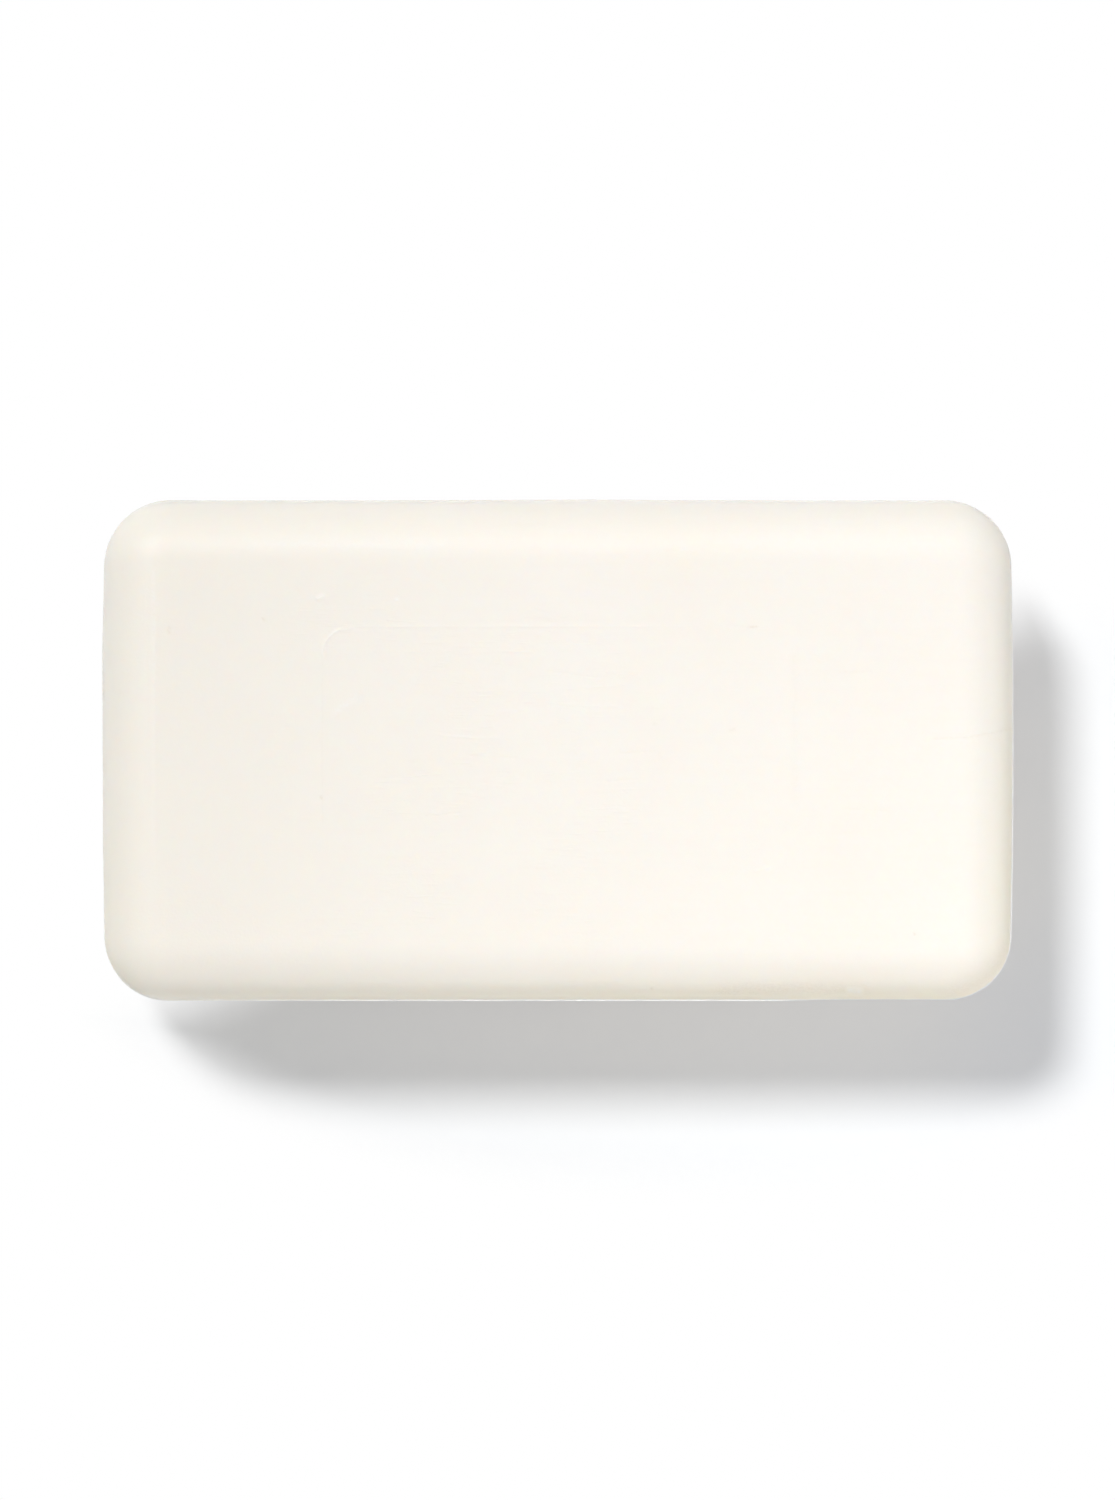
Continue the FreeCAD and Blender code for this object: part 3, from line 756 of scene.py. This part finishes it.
def light_world(scene, look):
    """Even light from all round, and plain white where the camera sees past the floor."""
    world = bpy.data.worlds.new("studio")
    world.use_nodes = True
    tree = world.node_tree
    tree.nodes.clear()
    direction = add(tree, "ShaderNodeTexCoord").outputs["Generated"]
    height = add(tree, "ShaderNodeSeparateXYZ", {0: direction}).outputs["Z"]
    steepness = add(tree, "ShaderNodeMath", {0: height}, operation="ABSOLUTE").outputs[0]
    lowness = add(tree, "ShaderNodeMath", {0: 1.0, 1: steepness}, operation="SUBTRACT").outputs[0]
    band = add(tree, "ShaderNodeMath", {0: lowness, 1: 3.0}, operation="POWER").outputs[0]
    ambient = add(tree, "ShaderNodeMath", {0: band, 1: look.ambient_level * look.horizon_gain,
                                           2: look.ambient_level}, operation="MULTIPLY_ADD").outputs[0]
    path = add(tree, "ShaderNodeLightPath").outputs
    strength = add(tree, "ShaderNodeMix", {"Factor": path["Is Camera Ray"], 2: ambient, 3: 1.0})
    glow = add(tree, "ShaderNodeBackground", {"Color": (1, 1, 1, 1), "Strength": strength.outputs[0]})
    add(tree, "ShaderNodeOutputWorld", {"Surface": glow.outputs[0]})
    scene.world = world


def low_strip(name, place, height, level):
    """A low strip lamp that gives a surface facing it this share of white."""
    lamp = bpy.data.lights.new(name, "AREA")
    lamp.shape = "RECTANGLE"
    lamp.size, lamp.size_y = height, STRIP_LENGTH
    lamp.energy = level * (math.pi * math.dist((0, 0, 0), place)) ** 2
    return lamp


def hang_lamps(scene, look):
    """Hangs the lamps: the soft key from the rear left, a fill without shadows near the front
    right, a low strip in front, and two strips that show only in the gloss, which draw the light
    line on the flash in front and at the right."""
    flat_run = math.cos(look.key_elevation)
    towards_key = (flat_run * math.cos(look.key_heading), flat_run * math.sin(look.key_heading),
                   math.sin(look.key_elevation))
    key = bpy.data.lights.new("key", "SUN")
    key.angle = look.key_softness
    key.energy = look.key_level * math.pi / towards_key[2]
    fill = bpy.data.lights.new("fill", "AREA")
    fill.shape = "DISK"
    fill.size = FILL_WIDTH
    fill.color = linear(look.fill_colour)
    fill.use_shadow = False
    fill_place = look.fill_place
    fill_distance = math.dist((0, 0, 0), fill_place)
    fill_slope = fill_place[2] / fill_distance
    fill.energy = look.fill_level * (math.pi * fill_distance) ** 2 / fill_slope
    strip = low_strip("strip", look.strip_place, STRIP_HEIGHT, look.strip_level)
    front_glint = low_strip("front_glint", look.strip_place, GLINT_HEIGHT, look.glint_level)
    right_glint = low_strip("right_glint", look.right_place, GLINT_HEIGHT, look.glint_level)
    hung = ((key, towards_key), (fill, fill_place), (strip, look.strip_place),
            (front_glint, look.strip_place), (right_glint, look.right_place))
    for lamp, place in hung:
        holder = bpy.data.objects.new(lamp.name, lamp)
        scene.collection.objects.link(holder)
        holder.location = place
        holder.rotation_euler = aim_at_origin(place)
        holder.visible_camera = False
        holder.visible_diffuse = lamp not in (front_glint, right_glint)


def aim_at_origin(place):
    """Rotation that points a lamp's -Z from its place at the bar."""
    x, y, z = place
    return (0.0, math.atan2(math.hypot(x, y), z), math.atan2(y, x))


def place_camera(scene, look):
    """Puts the camera straight above the bar, with +Y up in the frame, at the photo's scale."""
    parting_height = scene.soap_sizes.height / 2
    outline = scene.soap_sizes.length + 2 * scene.soap_sizes.flash_proud
    frame_height = outline * IMAGE_HEIGHT / OUTLINE_PIXELS
    camera = bpy.data.cameras.new("camera")
    camera.sensor_width = 36
    camera.lens = camera.sensor_width * (look.camera_height - parting_height) / frame_height
    holder = bpy.data.objects.new("camera", camera)
    holder.location = (0, 0, look.camera_height)
    scene.collection.objects.link(holder)
    scene.camera = holder


class SOAP_PT_panel(bpy.types.Panel):
    """Sizes, finish and stage of the soap"""
    bl_idname = "SOAP_PT_panel"
    bl_label = "Soap"
    bl_space_type = "VIEW_3D"
    bl_region_type = "UI"
    bl_category = "Soap"

    def draw(self, context):
        for operator in (SOAP_OT_press_bar, SOAP_OT_set_stage):
            self.layout.operator(operator.bl_idname)
        for group in (context.scene.soap_sizes, context.scene.soap_finish, context.scene.soap_stage):
            box = self.layout.box()
            for name in group.__annotations__:
                box.prop(group, name)


CLASSES = (SoapSizes, SoapFinish, SoapStage, SOAP_OT_press_bar, SOAP_OT_set_stage, SOAP_PT_panel)
GROUPS = {"soap_sizes": SoapSizes, "soap_finish": SoapFinish, "soap_stage": SoapStage}


def register():
    for cls in CLASSES:
        bpy.utils.register_class(cls)
    for name, group in GROUPS.items():
        setattr(bpy.types.Scene, name, PointerProperty(type=group))


def unregister():
    for name in GROUPS:
        delattr(bpy.types.Scene, name)
    for cls in reversed(CLASSES):
        bpy.utils.unregister_class(cls)


def main():
    register()
    bpy.ops.soap.press_bar()
    bpy.ops.soap.set_stage()


if __name__ == "__main__":
    main()
